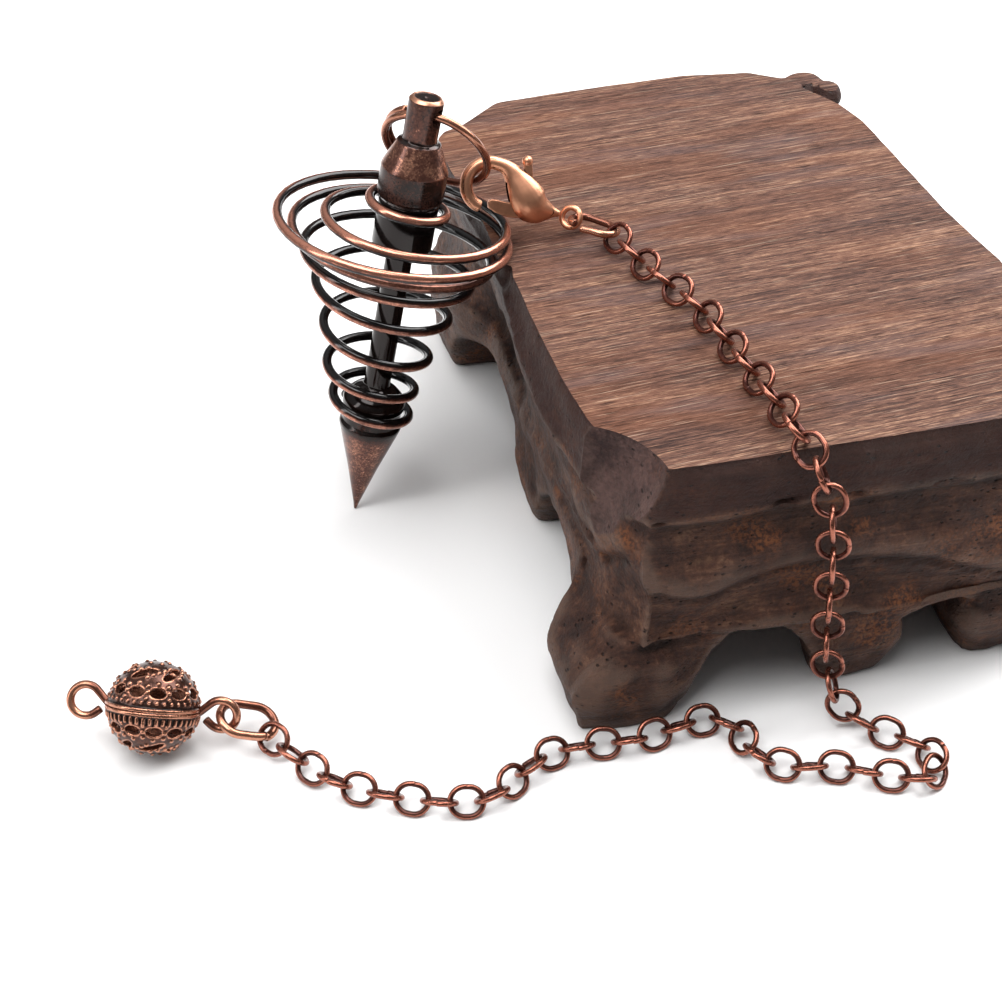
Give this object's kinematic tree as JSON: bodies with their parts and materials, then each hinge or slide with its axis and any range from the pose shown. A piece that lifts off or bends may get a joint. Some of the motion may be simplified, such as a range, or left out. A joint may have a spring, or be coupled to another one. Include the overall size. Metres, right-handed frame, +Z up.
{
  "type": "pendulum pendant on a wooden stand",
  "caption": "Pointed metal pendulum inside a widening wire coil, hung from a jump ring and lobster clasp, its link chain running over a footed wooden stand to a pierced round bead",
  "frame": {"origin": "middle of the whole layout in plan, on the surface that the stand, the pendulum's point and the bead stand on", "axes": "+X runs to the right along the stand's front, +Y away from the viewer, +Z up"},
  "size_m": [0.0974, 0.0834, 0.046],
  "materials": {
    "antique_metal": "antique copper plate, glossy, nearly black in its recesses",
    "antique_wire": "antique copper plate, satin",
    "clasp_metal": "antique copper plate, satin, paler and more orange than the rest",
    "chain_metal": "antique copper plate, reddish brown with dark recesses",
    "bead_metal": "antique copper plate, pierced and granulated, dark inside",
    "stand_wood": "dark oiled hardwood with a flat grained top and a carved, waxed apron"
  },
  "bodies": {
    "layout": {"pendulum": "antique_metal", "coil": "antique_metal", "jump_ring": "antique_wire", "clasp_body": "clasp_metal", "clasp_link": "antique_wire", "chain_top": "chain_metal", "chain_floor": "chain_metal", "end_ring": "antique_wire", "bead_upper": "bead_metal", "bead_lower": "bead_metal", "eye_wire": "antique_wire", "stand_body": "stand_wood", "foot_front_left": "stand_wood", "foot_front_middle": "stand_wood", "foot_front_right": "stand_wood", "foot_right_middle": "stand_wood", "foot_back_right": "stand_wood", "foot_back_middle": "stand_wood", "foot_back_left": "stand_wood", "foot_left_middle": "stand_wood"},
    "lever": {"clasp_lever": "clasp_metal"}
  },
  "joints": [
    {"name": "clasp_lever_hinge", "type": "hinge", "parent": "layout", "child": "lever", "pos_m": [0.00274, 0.0129, 0.03293], "axis": [0.0203, 0.9037, -0.4276], "range_deg": [0, 25], "stiffness_Nm_per_rad": 0.0008}
  ]
}
